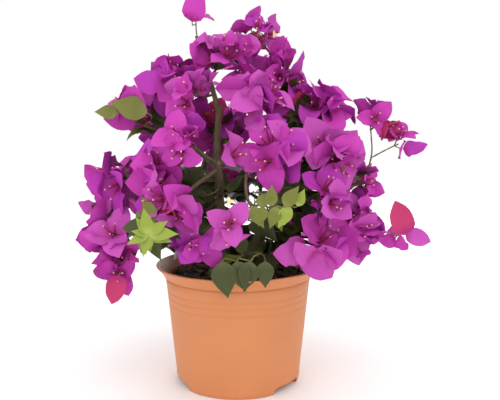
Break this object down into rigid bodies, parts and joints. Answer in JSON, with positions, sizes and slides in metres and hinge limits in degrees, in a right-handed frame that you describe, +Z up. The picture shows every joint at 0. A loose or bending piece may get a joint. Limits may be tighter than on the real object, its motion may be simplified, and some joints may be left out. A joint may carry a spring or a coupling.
{
  "type": "potted bougainvillea bush",
  "caption": "Flowering bougainvillea bush with a loose, uneven crown of magenta bracts and green leaves, growing from a round terracotta-coloured pot.",
  "frame": {"origin": "middle of the pot's flat underside", "axes": "+Z up, -Y towards the front of the plant, +X to the right seen from the front"},
  "size_m": [0.3664, 0.2747, 0.4007],
  "materials": {
    "pot": "satin",
    "soil": "matte",
    "bark": "matte",
    "green_wood": "matte",
    "bracts": "matte",
    "leaves": "satin",
    "young_leaves": "matte"
  },
  "bodies": {
    "root": {"back_high_left": "bracts", "back_high_right": "bracts", "back_left_bough": "bark", "back_left_middle": "bracts", "back_left_outer": "bracts", "back_left_shoulder": "bracts", "back_middle": "bracts", "back_right_bough": "bark", "back_right_low": "bracts", "back_right_middle": "bracts", "back_right_outer": "bracts", "back_right_shoulder": "bracts", "back_upper": "bracts", "crest_left": "bracts", "crest_right": "bracts", "front_bough": "bark", "front_centre": "bracts", "front_high_left": "bracts", "front_high_right": "bracts", "front_left": "bracts", "front_left_low": "bracts", "front_left_middle": "bracts", "front_left_skirt": "bracts", "front_middle_low": "bracts", "front_right_middle": "bracts", "green_shoot": "young_leaves", "left_bough": "bark", "left_far": "bracts", "left_high": "bracts", "left_high_bough": "bark", "left_low": "bracts", "left_low_bough": "bark", "left_middle": "bracts", "left_stem": "bark", "left_trail": "bracts", "lime_shoot": "young_leaves", "pot": "pot", "pot_leaves": "leaves", "right_bough": "bark", "right_far": "bracts", "right_high": "bracts", "right_high_bough": "bark", "right_inner": "bracts", "right_leaf": "bracts", "right_low": "bracts", "right_low_bough": "bark", "right_middle": "bracts", "right_skirt": "bracts", "shoulder_left_high": "bracts", "shoulder_right_high": "bracts", "soil": "soil", "stem": "bark", "top_left_bough": "bark", "top_middle": "bracts", "top_right_bough": "bark", "wing_inner": "bracts", "wing_side_stalk": "green_wood", "wing_stalk": "green_wood", "wing_tip": "bracts"}
  },
  "joints": []
}
